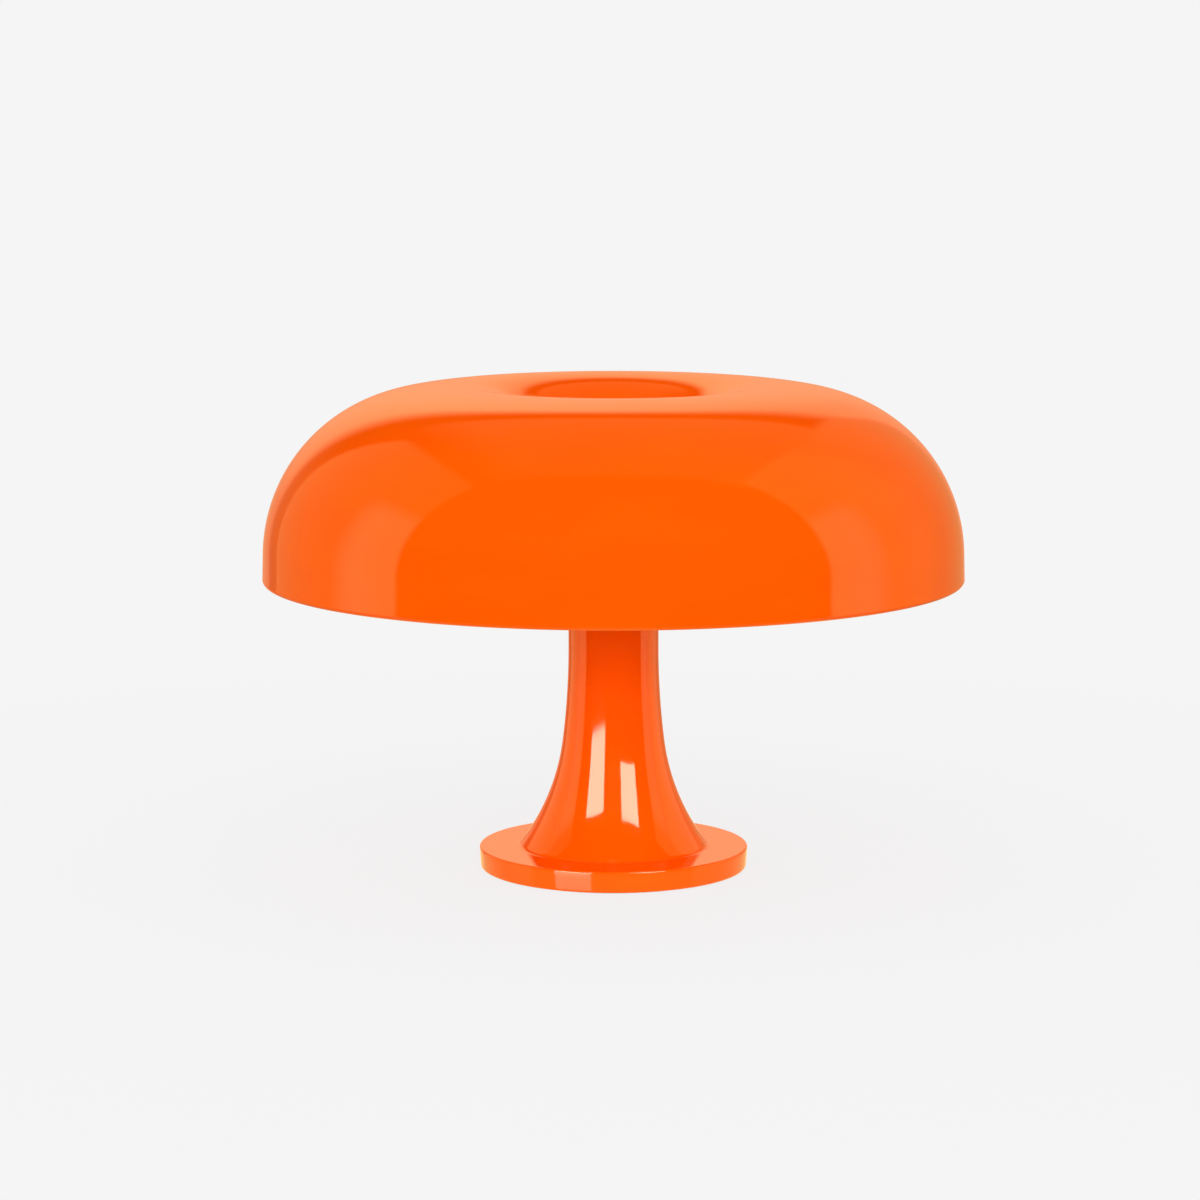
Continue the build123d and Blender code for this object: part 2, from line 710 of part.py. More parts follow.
for number, angle in enumerate(arm_angles, start=1):
    arm = arm_plane(angle)
    arm_axis = Axis(arm.origin, arm.x_dir)

    with BuildPart() as lampholder:
        with BuildSketch(arm_end(angle, hub_half)):
            Circle(holder_radius)
        extrude(amount=holder_length)
        fillet(lampholder.edges().filter_by(GeomType.CIRCLE).sort_by(arm_axis)[-1], holder_round)
        with BuildSketch(arm_end(angle, hub_half + holder_back)):
            Circle(holder_bore_radius)
        extrude(amount=holder_length, mode=Mode.SUBTRACT)
        with BuildSketch(arm_end(angle, hub_half)):
            Circle(tube_radius + thread_play)
        extrude(amount=holder_back, mode=Mode.SUBTRACT)
    save(lampholder, f"lampholder_{number}")

    with BuildPart() as bulb_glass:
        with BuildSketch(arm) as glass_profile:
            with BuildLine():
                neck_outside, tip_outside = globe_outline(0)
                neck_inside, tip_inside = globe_outline(glass_wall)
                Line(tip_outside, tip_inside)
                Polyline(
                    neck_outside,
                    (cap_end, cap_bore_radius - cap_seat_play),
                    (cap_end - neck_plug, cap_bore_radius - cap_seat_play),
                    (cap_end - neck_plug, cap_bore_radius - cap_seat_play - glass_wall),
                    (cap_end, cap_bore_radius - cap_seat_play - glass_wall),
                    neck_inside,
                )
            make_face()
        revolve(axis=arm_axis)
    save(bulb_glass, f"bulb_{number}_glass")

    with BuildPart() as bulb_cap:
        with BuildSketch(arm_end(angle, cap_start)):
            Circle(cap_shell_radius)
            Circle(cap_bore_radius, mode=Mode.SUBTRACT)
        extrude(amount=cap_shell_length)
    save(bulb_cap, f"bulb_{number}_cap")

    with BuildPart() as bulb_insulator:
        with BuildSketch(arm):
            with BuildLine():
                Polyline(
                    (cap_start - insulator_length, 0),
                    (cap_start - insulator_length, insulator_nose_radius),
                    (cap_start, cap_bore_radius),
                    (cap_start, 0),
                    close=True,
                )
            make_face()
        revolve(axis=arm_axis)
    save(bulb_insulator, f"bulb_{number}_insulator")

    with BuildPart() as bulb_tip:
        with BuildSketch(arm_end(angle, bulb_start)):
            Circle(bulb_tip_radius)
        extrude(amount=bulb_tip_length)
    save(bulb_tip, f"bulb_{number}_tip")

# Washer and nut that hold the shade on the collar
with BuildPart() as shade_washer:
    with BuildSketch(Plane.XY.offset(well_floor)):
        Circle(shade_washer_radius)
        Circle(shade_hole_radius, mode=Mode.SUBTRACT)
    extrude(amount=shade_washer_thickness)
save(shade_washer, "shade_washer")

with BuildPart() as shade_nut:
    with BuildSketch(Plane.XY.offset(shade_nut_bottom)):
        Circle(shade_nut_radius)
        with PolarLocations(shade_nut_radius + flute_radius - flute_bite, flute_count):
            Circle(flute_radius, mode=Mode.SUBTRACT)
    extrude(amount=shade_nut_height)
    fillet(shade_nut.edges().group_by(Axis.Z)[-1], shade_nut_round)
    with BuildSketch(Plane.XY.offset(shade_nut_bottom)):
        Circle(collar_radius + shade_nut_play)
    extrude(amount=shade_nut_height - shade_nut_crown, mode=Mode.SUBTRACT)
save(shade_nut, "shade_nut")

# Lead from the terminal block, round one bend and up the tie tube to the junction block
with BuildPart() as stem_lead:
    with BuildLine() as stem_route:
        FilletPolyline(
            (0, block_front, lead_level),
            (0, 0, lead_level),
            (0, 0, junction_bottom),
            radius=stem_lead_bend,
        )
    with BuildSketch(Plane.XZ.offset(-block_front)):
        with Locations((0, lead_level)):
            Circle(stem_lead_radius)
    sweep(path=stem_route.line)
save(stem_lead, "stem_lead")

# Leads from the junction block through the nipples to the lampholders' inserts
with BuildPart() as lampholder_leads:
    for angle in arm_angles:
        arm = arm_plane(angle)
        start = arm.from_local_coords((holder_lead_spacing, junction_bottom - arm_height))
        bend = arm.from_local_coords((holder_lead_spacing, 0))
        end = arm.from_local_coords((insert_start, 0))
        with BuildLine() as holder_route:
            FilletPolyline(start, bend, end, radius=holder_lead_bend)
        with BuildSketch(arm_end(angle, insert_start)):
            Circle(holder_lead_radius)
        sweep(path=holder_route.line)
save(lampholder_leads, "lampholder_leads")

# Check of the leads: bend radii, and volume against section times length
for name, lead, route, radius, bend, count in (
    ("stem lead", stem_lead, stem_route, stem_lead_radius, stem_lead_bend, 1),
    ("lampholder leads", lampholder_leads, holder_route, holder_lead_radius, holder_lead_bend, arm_count),
):
    expected = count * pi * radius**2 * route.wire().length
    print(f"{name}: bend radius {bend}, volume {lead.part.volume:.1f} of {expected:.1f}")
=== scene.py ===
import json
from math import atan2, cos, degrees, pi, radians, sin, sqrt, tan

import bmesh
import bpy
from mathutils import Matrix, Vector


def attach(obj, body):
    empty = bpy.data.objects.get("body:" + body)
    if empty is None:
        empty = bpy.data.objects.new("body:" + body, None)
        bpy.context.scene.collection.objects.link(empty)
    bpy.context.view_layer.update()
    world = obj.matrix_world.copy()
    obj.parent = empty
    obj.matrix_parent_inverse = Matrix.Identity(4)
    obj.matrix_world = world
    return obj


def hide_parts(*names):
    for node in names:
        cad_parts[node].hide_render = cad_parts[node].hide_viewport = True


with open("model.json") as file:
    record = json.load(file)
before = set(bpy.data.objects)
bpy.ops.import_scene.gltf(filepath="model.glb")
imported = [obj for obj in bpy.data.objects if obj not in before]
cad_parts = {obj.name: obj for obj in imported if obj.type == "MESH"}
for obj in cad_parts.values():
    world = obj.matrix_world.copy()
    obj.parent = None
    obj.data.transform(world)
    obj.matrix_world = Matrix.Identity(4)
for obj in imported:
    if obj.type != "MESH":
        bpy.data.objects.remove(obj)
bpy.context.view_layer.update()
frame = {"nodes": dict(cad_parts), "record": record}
MM = 0.001


# Outlines of turned pieces, as (radius, height) in millimetres


def arc(centre, radius, start, end, steps):
    """Points of an arc from one angle to another, in degrees."""
    points = []
    for i in range(steps + 1):
        a = radians(start + (end - start) * i / steps)
        points.append((centre[0] + radius * cos(a), centre[1] + radius * sin(a)))
    return points


def straight(a, b, steps):
    """Points along a straight run, without its first point."""
    shares = [i / steps for i in range(1, steps + 1)]
    return [(a[0] + (b[0] - a[0]) * s, a[1] + (b[1] - a[1]) * s) for s in shares]


def chain(start, heading, runs):
    """Points and headings along straight runs and tangent arcs."""
    r, z = start
    path = [(r, z, heading)]
    for kind, size, turn, steps in runs:
        for _ in range(steps):
            if kind == "run":
                r += size / steps * cos(radians(heading))
                z += size / steps * sin(radians(heading))
            else:
                step = turn / steps
                side = 1 if turn > 0 else -1
                a, b = radians(heading), radians(heading + step)
                r += side * size * (sin(b) - sin(a))
                z += side * size * (cos(a) - cos(b))
                heading += step
            path.append((r, z, heading))
    return path


def offset(path, inset):
    """The path moved to its left-hand side."""
    return [(r - inset * sin(radians(h)), z + inset * cos(radians(h))) for r, z, h in path]


# Meshes


def finish_mesh(bm, name, material, sharp=32):
    """Turns a bmesh into an object with smooth faces and sharp corners."""
    bmesh.ops.recalc_face_normals(bm, faces=bm.faces)
    mesh = bpy.data.meshes.new(name)
    bm.to_mesh(mesh)
    bm.free()
    for polygon in mesh.polygons:
        polygon.use_smooth = True
    mesh.set_sharp_from_angle(angle=radians(sharp))
    mesh.materials.append(material)
    obj = bpy.data.objects.new(name, mesh)
    bpy.context.scene.collection.objects.link(obj)
    return obj


def lathe(bm, outline, segments, place=Matrix.Identity(4), ripple=None):
    """Adds a turned, closed body; ripple changes a point's radius by its height and angle."""
    rings = []
    for r, z in outline:
        ring = []
        for s in range(segments):
            a = 2 * pi * s / segments
            radius = r if ripple is None else ripple(r, z, a)
            point = Vector((radius * MM * cos(a), radius * MM * sin(a), z * MM))
            ring.append(bm.verts.new(place @ point))
        rings.append(ring)
    for i, ring in enumerate(rings):
        following = rings[(i + 1) % len(rings)]
        for s in range(segments):
            t = (s + 1) % segments
            bm.faces.new((ring[s], ring[t], following[t], following[s]))
    bmesh.ops.remove_doubles(bm, verts=bm.verts, dist=1e-7)
    bmesh.ops.dissolve_degenerate(bm, dist=1e-8, edges=bm.edges)


def turned(outline, name, material, segments, sharp=32, place=Matrix.Identity(4), ripple=None):
    """One turned piece as an object."""
    bm = bmesh.new()
    lathe(bm, outline, segments, place, ripple)
    return finish_mesh(bm, name, material, sharp)


def arm_matrix(number, height):
    """Places a piece turned about Z so that its axis lies along an arm."""
    turn = Matrix.Rotation(radians(90 * (number - 1)), 4, "Z")
    return Matrix.Translation((0, 0, height * MM)) @ turn @ Matrix.Rotation(radians(90), 4, "Y")


# Node trees


class Graph:
    """A node tree, with the kinds of node that the finishes, the floor and the world need."""

    def __init__(self, tree):
        self.nodes = tree.nodes
        self.links = tree.links

    def add(self, kind, inputs=None, **settings):
        """Adds a node with its settings, and its inputs by name or place."""
        node = self.nodes.new(f"ShaderNode{kind}")
        for name, value in settings.items():
            setattr(node, name, value)
        for key, value in (inputs or {}).items():
            self.put(node.inputs[key], value)
        return node

    def put(self, socket, value):
        """Links a socket from another one, or sets it to a value."""
        if isinstance(value, bpy.types.NodeSocket):
            self.links.new(value, socket)
        else:
            socket.default_value = value

    def position(self, stretch=(1, 1, 1)):
        """Object coordinates, stretched along the axes."""
        source = self.add("TexCoord").outputs["Object"]
        return self.add("Mapping", {"Vector": source, "Scale": stretch}).outputs["Vector"]

    def noise(self, vector, scale, detail, rough):
        """A noise texture's value."""
        inputs = {"Vector": vector, "Scale": scale, "Detail": detail, "Roughness": rough}
        return self.add("TexNoise", inputs).outputs["Fac"]

    def spread(self, value, start, end, low=0.3, high=0.7):
        """Maps a value from low to high onto start to end."""
        inputs = {"Value": value, "From Min": low, "From Max": high, "To Min": start, "To Max": end}
        return self.add("MapRange", inputs).outputs["Result"]

    def ramp(self, value, low, high):
        """0 below low and 1 above high, smooth between, or the reverse where high is below low."""
        start, end = (0.0, 1.0) if high > low else (1.0, 0.0)
        low, high = min(low, high), max(low, high)
        inputs = {"Value": value, "From Min": low, "From Max": high, "To Min": start, "To Max": end}
        return self.add("MapRange", inputs, interpolation_type="SMOOTHSTEP").outputs["Result"]

    def two_colours(self, value, first, second, low=0.35, high=0.65):
        """A ramp between two colours."""
        node = self.add("ValToRGB", {"Fac": value})
        for element, colour, place in zip(node.color_ramp.elements, (first, second), (low, high)):
            element.color = (*colour, 1)
            element.position = place
        return node.outputs["Color"]

    def bump(self, height, strength, distance, over=None):
        """A bump from a height, over another bump where one is given."""
        node = self.add("Bump", {"Height": height, "Strength": strength, "Distance": distance})
        if over is not None:
            self.put(node.inputs["Normal"], over)
        return node.outputs["Normal"]

    def math(self, operation, *values):
        """A math node on values or sockets."""
        return self.add("Math", dict(enumerate(values)), operation=operation).outputs["Value"]

    def product(self, *values):
        """Several values multiplied."""
        total = values[0]
        for value in values[1:]:
            total = self.math("MULTIPLY", total, value)
        return total

    def length(self, vector):
        """A vector's length."""
        return self.add("VectorMath", {0: vector}, operation="LENGTH").outputs["Value"]

    def mix(self, factor, first, second):
        """A mix of two shaders."""
        return self.add("MixShader", {"Fac": factor, 1: first, 2: second}).outputs["Shader"]


def grey(level):
    """A grey colour."""
    return (level, level, level, 1)


# Finishes


def new_finish(name):
    """A node material with its graph and its shader."""
    material = bpy.data.materials.new(name)
    material.use_nodes = True
    graph = Graph(material.node_tree)
    return material, graph, graph.nodes["Principled BSDF"]


def plain(name, dark, light, rough, uneven, metallic, patch, grain, depth, sockets=None):
    """Soft patches of colour, uneven gloss and a fine grain, whose depth is in millimetres."""
    material, graph, shader = new_finish(name)
    vector = graph.position()
    patches = graph.noise(vector, scale=patch, detail=4.0, rough=0.6)
    fine = graph.noise(vector, scale=grain, detail=2.0, rough=0.6)
    graph.put(shader.inputs["Base Color"], graph.two_colours(patches, dark, light))
    graph.put(shader.inputs["Roughness"], graph.spread(patches, rough - uneven, rough + uneven))
    graph.put(shader.inputs["Normal"], graph.bump(fine, strength=0.5, distance=depth * MM))
    shader.inputs["Metallic"].default_value = metallic
    for socket, value in (sockets or {}).items():
        shader.inputs[socket].default_value = value
    return material


def moulding_finish():
    """Glossy orange moulding: slow sink marks, faint flow and a fine skin."""
    material, graph, shader = new_finish("moulding")
    vector = graph.position()
    slow = graph.noise(vector, scale=9.0, detail=1.5, rough=0.45)
    skin = graph.noise(vector, scale=420.0, detail=2.0, rough=0.5)
    flow = graph.noise(graph.position(stretch=(1, 1, 3)), scale=22.0, detail=3.0, rough=0.5)
    deep, bright = (0.965, 0.091, 0.0001), (0.98, 0.1, 0.0003)
    graph.put(shader.inputs["Base Color"], graph.two_colours(flow, deep, bright, low=0.3, high=0.7))
    graph.put(shader.inputs["Roughness"], graph.spread(skin, 0.045, 0.085))
    sink_marks = graph.bump(slow, strength=0.35, distance=1.2 * MM)
    fine_skin = graph.bump(skin, strength=0.05, distance=0.02 * MM, over=sink_marks)
    graph.put(shader.inputs["Normal"], fine_skin)
    shader.inputs["IOR"].default_value = 1.5
    shader.inputs["Specular Tint"].default_value = (1.0, 1.0, 0.4, 1.0)
    return material


TUBE_PITCH = 1.0
ARM_TUBES_FROM = 12.0


def thread_tubes(material):
    """Bands of thread across a tube's own length, upright in the stem and level in the arms."""
    graph = Graph(material.node_tree)
    level_part = graph.add("VectorMath", {0: graph.position(), 1: (1, 1, 0)}, operation="MULTIPLY")
    from_axis = graph.length(level_part.outputs["Vector"])
    in_arm = graph.math("GREATER_THAN", from_axis, ARM_TUBES_FROM * MM)
    height = graph.add("SeparateXYZ", {"Vector": graph.position()}).outputs["Z"]
    along = graph.add("Mix", {"Factor": in_arm, "A": height, "B": from_axis}).outputs["Result"]
    turns = graph.math("SINE", graph.math("MULTIPLY", along, 2 * pi / (TUBE_PITCH * MM)))
    shader = graph.nodes["Principled BSDF"]
    graph.put(shader.inputs["Normal"], graph.bump(turns, strength=0.6, distance=0.25 * MM))


PLAIN_FINISHES = {
    "cast_iron": dict(
        dark=(0.07, 0.07, 0.073), light=(0.13, 0.13, 0.135),
        rough=0.62, uneven=0.1, metallic=0.6, patch=35.0, grain=240.0, depth=0.4,
    ),
    "plated_steel": dict(
        dark=(0.52, 0.53, 0.53), light=(0.66, 0.66, 0.64),
        rough=0.34, uneven=0.08, metallic=1.0, patch=45.0, grain=700.0, depth=0.02,
    ),
    "zinc_screw": dict(
        dark=(0.56, 0.56, 0.54), light=(0.7, 0.69, 0.65),
        rough=0.3, uneven=0.08, metallic=1.0, patch=260.0, grain=2600.0, depth=0.01,
    ),
    "zinc_tube": dict(
        dark=(0.55, 0.55, 0.54), light=(0.67, 0.67, 0.65),
        rough=0.33, uneven=0.08, metallic=1.0, patch=150.0, grain=2400.0, depth=0.01,
    ),
    "washer_steel": dict(
        dark=(0.55, 0.55, 0.53), light=(0.68, 0.67, 0.64),
        rough=0.28, uneven=0.08, metallic=1.0, patch=90.0, grain=2400.0, depth=0.01,
    ),
    "bulb_cap_metal": dict(
        dark=(0.6, 0.59, 0.56), light=(0.73, 0.72, 0.69),
        rough=0.2, uneven=0.07, metallic=1.0, patch=160.0, grain=1800.0, depth=0.01,
    ),
    "brass": dict(
        dark=(0.72, 0.5, 0.2), light=(0.83, 0.62, 0.29),
        rough=0.24, uneven=0.08, metallic=1.0, patch=200.0, grain=1800.0, depth=0.01,
    ),
    "pad_rubber": dict(
        dark=(0.022, 0.022, 0.022), light=(0.04, 0.039, 0.038),
        rough=0.78, uneven=0.08, metallic=0.0, patch=50.0, grain=1500.0, depth=0.12,
        sockets={"Specular IOR Level": 0.15},
    ),
    "black_rubber": dict(
        dark=(0.018, 0.018, 0.018), light=(0.03, 0.03, 0.03),
        rough=0.55, uneven=0.08, metallic=0.0, patch=180.0, grain=2200.0, depth=0.02,
    ),
    "block_plastic": dict(
        dark=(0.72, 0.69, 0.6), light=(0.8, 0.77, 0.69),
        rough=0.42, uneven=0.06, metallic=0.0, patch=140.0, grain=1400.0, depth=0.03,
        sockets={"Subsurface Weight": 0.25, "Subsurface Radius": (0.002, 0.0016, 0.001)},
    ),
    "hub_plastic": dict(
        dark=(0.68, 0.65, 0.58), light=(0.74, 0.71, 0.65),
        rough=0.38, uneven=0.06, metallic=0.0, patch=60.0, grain=1300.0, depth=0.04,
    ),
    "holder_plastic": dict(
        dark=(0.72, 0.7, 0.64), light=(0.78, 0.76, 0.7),
        rough=0.33, uneven=0.06, metallic=0.0, patch=70.0, grain=1300.0, depth=0.03,
    ),
    "lead_sheath": dict(
        dark=(0.66, 0.64, 0.58), light=(0.76, 0.74, 0.68),
        rough=0.5, uneven=0.06, metallic=0.0, patch=220.0, grain=3000.0, depth=0.04,
    ),
    "holder_ceramic": dict(
        dark=(0.8, 0.79, 0.75), light=(0.87, 0.86, 0.83),
        rough=0.22, uneven=0.06, metallic=0.0, patch=120.0, grain=1600.0, depth=0.03,
    ),
    "black_glass": dict(
        dark=(0.012, 0.012, 0.014), light=(0.022, 0.022, 0.024),
        rough=0.16, uneven=0.05, metallic=0.0, patch=300.0, grain=1500.0, depth=0.01,
    ),
    "opal_glass": dict(
        dark=(0.88, 0.87, 0.84), light=(0.92, 0.91, 0.885),
        rough=0.1, uneven=0.03, metallic=0.0, patch=30.0, grain=500.0, depth=0.01,
        sockets={
            "Subsurface Weight": 0.5,
            "Subsurface Radius": (0.004, 0.004, 0.0036),
            "Coat Weight": 0.4,
            "Coat Roughness": 0.04,
        },
    ),
}
slots = {name: plain(name, **finish) for name, finish in PLAIN_FINISHES.items()}
slots["moulding"] = moulding_finish()
thread_tubes(slots["zinc_tube"])

# Every CAD node gets its slot's finish, smooth faces and sharp corners
NODE_SHARP = 28
for part in frame["record"]["subparts"]:
    node = frame["nodes"][part["node"]]
    node.data.materials.clear()
    node.data.materials.append(slots[part["material_slot"]])
    for polygon in node.data.polygons:
        polygon.use_smooth = True
        polygon.material_index = 0
    node.data.set_sharp_from_angle(angle=radians(NODE_SHARP))

# Shade, from its rim over the crown and down the funnel to the hole in the well's floor
WALL = 3.0
RIM = (160.0, 134.0)
DRAFT = 1.5
SIDE_RUN = 13.556
SHOULDER_RADIUS, SHOULDER_TURN = 76.4, 78.0
BROW_RADIUS, BROW_TURN = 139.0, 10.5
CROWN_RADIUS = 71.86
MOUTH = 53.0
DISH_TURN = 20.0
DISH_RADIUS = (CROWN_RADIUS - MOUTH) / sin(radians(DISH_TURN))
LIP_RADIUS = 34.5
FUNNEL_TILT = 78.0
FUNNEL_RUN = 5.377
FUNNEL_ROOT = 4.0
WELL_FLOOR = 186.0
HOLE, HOLE_EDGE = 12.25, 0.25
RIM_OUTSIDE, RIM_INSIDE = 1.9, 0.8
ROUND_CLEARANCE = 0.2


def shade_outline():
    """Closed outline of the shade's wall, with a rounded rim and a hole with broken edges."""
    runs = [
        ("run", SIDE_RUN, 0, 6),
        ("arc", SHOULDER_RADIUS, SHOULDER_TURN, 64),
        ("arc", BROW_RADIUS, BROW_TURN, 12),
        ("arc", DISH_RADIUS, DISH_TURN, 14),
        ("arc", LIP_RADIUS, FUNNEL_TILT - DISH_TURN, 40),
        ("run", FUNNEL_RUN, 0, 3),
        ("arc", FUNNEL_ROOT, -FUNNEL_TILT, 12),
    ]
    side = chain(RIM, 90 + DRAFT, runs)
    outside = [(r, z) for r, z, h in side]
    inside = offset(side, WALL)
    outer_round_top = RIM[1] + RIM_OUTSIDE
    inner_round_top = RIM[1] + RIM_INSIDE
    ceiling = WELL_FLOOR - WALL
    return (
        arc((outside[0][0] - RIM_OUTSIDE, outer_round_top), RIM_OUTSIDE, -90, 0, 8)
        + [p for p in outside if p[1] > outer_round_top + ROUND_CLEARANCE]
        + [(HOLE + HOLE_EDGE, WELL_FLOOR), (HOLE, WELL_FLOOR - HOLE_EDGE)]
        + [(HOLE, ceiling + HOLE_EDGE), (HOLE + HOLE_EDGE, ceiling)]
        + [p for p in reversed(inside) if p[1] > inner_round_top + ROUND_CLEARANCE]
        + arc((inside[0][0] + RIM_INSIDE, inner_round_top), RIM_INSIDE, 180, 270, 5)
    )


shade = turned(shade_outline(), "shade_moulding", slots["moulding"], segments=256)
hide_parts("shade")
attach(shade, "shade")

# Foot, flare and stem, with the hollow that shows from below
STEM, STEM_TOP, STEM_EDGE = 20.65, 148.0, 0.4
FLARE_TOP = 103.0
LONG_RADIUS, LONG_TURN = 348.0, 7.2
SHORT_RADIUS = 101.0
ROOT = 3.0
FOOT, FOOT_TOP, FOOT_LIFT, FOOT_DRAFT = 61.8, 10.5, 0.6, 3.5
SOLE = FOOT - (FOOT_TOP - FOOT_LIFT) * tan(radians(FOOT_DRAFT))
FOOT_WALL = 2.5
TOP_ROUND, TOP_ROUND_INSET, TOP_ROUND_START = 0.9, 0.95, 1.6
BOTTOM_ROUND, BOTTOM_ROUND_INSET, BOTTOM_ROUND_END = 1.2, 1.13, 1.5
SIDE_INSET = 0.1
HOLLOW_MOUTH, HOLLOW_NECK = 43.0, (40.0, 10.0)


def flare_arcs():
    """The long arc, the short arc and the root round, from the stem down to the foot."""
    long_arc = chain((STEM, FLARE_TOP), 270, [("arc", LONG_RADIUS, LONG_TURN, 16)])
    end_r, end_z, heading = long_arc[-1]
    centre = (end_r - SHORT_RADIUS * sin(radians(heading)), end_z + SHORT_RADIUS * cos(radians(heading)))
    root_z = FOOT_TOP + ROOT
    root_r = centre[0] - sqrt((SHORT_RADIUS - ROOT) ** 2 - (centre[1] - root_z) ** 2)
    meet = degrees(atan2(root_z - centre[1], root_r - centre[0])) % 360
    short_arc = arc(centre, SHORT_RADIUS, 180 + LONG_TURN, meet, 34)
    root_round = arc((root_r, root_z), ROOT, meet, 270, 10)
    return [(r, z) for r, z, h in long_arc], short_arc, root_round


def base_outline():
    """Closed outline of the foot and stem's wall."""
    long_arc, short_arc, root_round = flare_arcs()
    foot_edge = (FOOT - TOP_ROUND_START, FOOT_TOP)
    side_top = (FOOT - SIDE_INSET, FOOT_TOP - TOP_ROUND_START)
    side_bottom = (SOLE + SIDE_INSET, FOOT_LIFT + BOTTOM_ROUND_END)
    roof = FOOT_TOP - FOOT_WALL
    top_centre = (FOOT - TOP_ROUND_INSET, FOOT_TOP - TOP_ROUND)
    bottom_centre = (SOLE - BOTTOM_ROUND_INSET, FOOT_LIFT + BOTTOM_ROUND)
    return (
        [(STEM - STEM_EDGE, STEM_TOP), (STEM, STEM_TOP - STEM_EDGE)]
        + straight((STEM, STEM_TOP - STEM_EDGE), (STEM, FLARE_TOP), 6)
        + long_arc[1:]
        + short_arc[1:]
        + root_round[1:]
        + straight((root_round[-1][0], FOOT_TOP), foot_edge, 4)
        + arc(top_centre, TOP_ROUND, 90, FOOT_DRAFT, 10)
        + straight(side_top, side_bottom, 4)
        + arc(bottom_centre, BOTTOM_ROUND, -FOOT_DRAFT, -90, 8)
        + [(SOLE - FOOT_WALL, FOOT_LIFT), (SOLE - FOOT_WALL, roof), (HOLLOW_MOUTH, roof), HOLLOW_NECK]
        + [(r - WALL, z) for r, z in reversed(short_arc[2:-6:4])]
        + [(STEM - WALL, FLARE_TOP), (STEM - WALL, STEM_TOP)]
    )


INLET_RADIUS, INLET_LEVEL = 3.45, 5.2
INLET_CUT_AT, INLET_CUT_LENGTH = 62.0, 30.0


def cut_inlet(piece):
    """Cuts the cord inlet's hole through the back of the foot."""
    place = Matrix.Translation((0, INLET_CUT_AT * MM, INLET_LEVEL * MM))
    bm = bmesh.new()
    bmesh.ops.create_cone(
        bm,
        cap_ends=True,
        segments=48,
        radius1=INLET_RADIUS * MM,
        radius2=INLET_RADIUS * MM,
        depth=INLET_CUT_LENGTH * MM,
        matrix=place @ Matrix.Rotation(radians(90), 4, "X"),
    )
    cutter = finish_mesh(bm, "cutter", slots["moulding"])
    cut = piece.modifiers.new("inlet", "BOOLEAN")
    cut.object = cutter
    cut.solver = "EXACT"
    evaluated = piece.evaluated_get(bpy.context.evaluated_depsgraph_get())
    holed = bpy.data.meshes.new_from_object(evaluated)
    piece.modifiers.clear()
    piece.data = holed
    bpy.data.objects.remove(cutter)


base = turned(base_outline(), "foot_and_stem", slots["moulding"], segments=192)
cut_inlet(base)
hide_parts("base_moulding")
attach(base, "base")

# Bulbs and lampholders, turned about an arm, with heights as distances from the stem's axis
ARM_HEIGHT = 165.0
ARMS = (1, 2, 3, 4)
PITCH = 2.82
CAP, CAP_START, CAP_END = 6.95, 47.0, 66.0
CAP_THREAD_DEPTH, CAP_THREAD_FADE = 0.36, 1.5
CAP_PLAIN_START, CAP_PLAIN_END = 1.2, 5.0
CAP_MOUTH, CAP_CONTACT_RING = 6.0, 5.6
CAP_ROWS, CAP_ROW = 64, 0.28
GLOBE, GLOBE_CENTRE, NECK = 22.5, 99.0, 8.0
COLLAR, COLLAR_SHOULDER, COLLAR_DEPTH = 6.2, 6.6, 0.5
SHELL, SHELL_BORE, SHELL_START, SHELL_END = 8.0, 7.3, 40.0, 62.0
SHELL_THREAD_DEPTH, SHELL_PLAIN_END = 0.16, 2.0
SHELL_MOUTH, SHELL_ROWS, SHELL_ROW = 7.6, 70, 0.31
HOLDER, HOLDER_START, HOLDER_END = 14.0, 20.0, 64.0
HOLDER_BORE, HOLDER_ENTRY, HOLDER_INLET = 8.6, 24.0, 5.05
BEVEL, BEVEL_FROM, MOUTH_RIM, MOUTH_ROUND = 9.2, 63.2, 12.4, 1.5
GROOVE_ENDS, GROOVE_WIDTH, GROOVE_DEPTH = (60.4, 57.6), 1.2, 0.3
PLAIN_FROM, RIBS_END, RIBS_START, BAND_END = 36.0, 35.0, 22.6, 21.8
BACK_EDGE, BACK_EDGE_FROM = 13.6, 20.4
RIBBED, RIB_HEIGHT, RIB_COUNT, RIB_SHARPNESS = 13.4, 0.45, 24, 0.6


def helix(z, a):
    """0 at a thread's crest and 2 at its root, at a height and an angle."""
    return 1 - cos(2 * pi * (z / PITCH - a / (2 * pi)))


def globe_outline():
    """The globe, its flared neck and the collar that sits in the cap."""
    to_globe = GLOBE_CENTRE - CAP_END
    neck_flare = (to_globe**2 + NECK**2 - GLOBE**2) / (2 * (GLOBE - NECK))
    neck_centre = (NECK + neck_flare, CAP_END)
    neck_turn = degrees(atan2(to_globe, neck_centre[0]))
    collar_end = CAP_END - COLLAR_DEPTH
    return (
        [(0.0, collar_end), (COLLAR, collar_end), (COLLAR_SHOULDER, CAP_END - 0.2), (NECK - 0.4, CAP_END)]
        + arc(neck_centre, neck_flare, 180, 180 - neck_turn, 16)
        + arc((0.0, GLOBE_CENTRE), GLOBE, -neck_turn, 90, 40)[1:]
    )


def cap_thread(r, z, a):
    """Rolled thread of a bulb's cap on its middle length."""
    start, end = CAP_START + CAP_PLAIN_START, CAP_END - CAP_PLAIN_END
    if r < CAP or not start < z < end:
        return r
    fade = min(1.0, (z - start) / CAP_THREAD_FADE, (end - z) / CAP_THREAD_FADE)
    return r - CAP_THREAD_DEPTH * fade * helix(z, a)


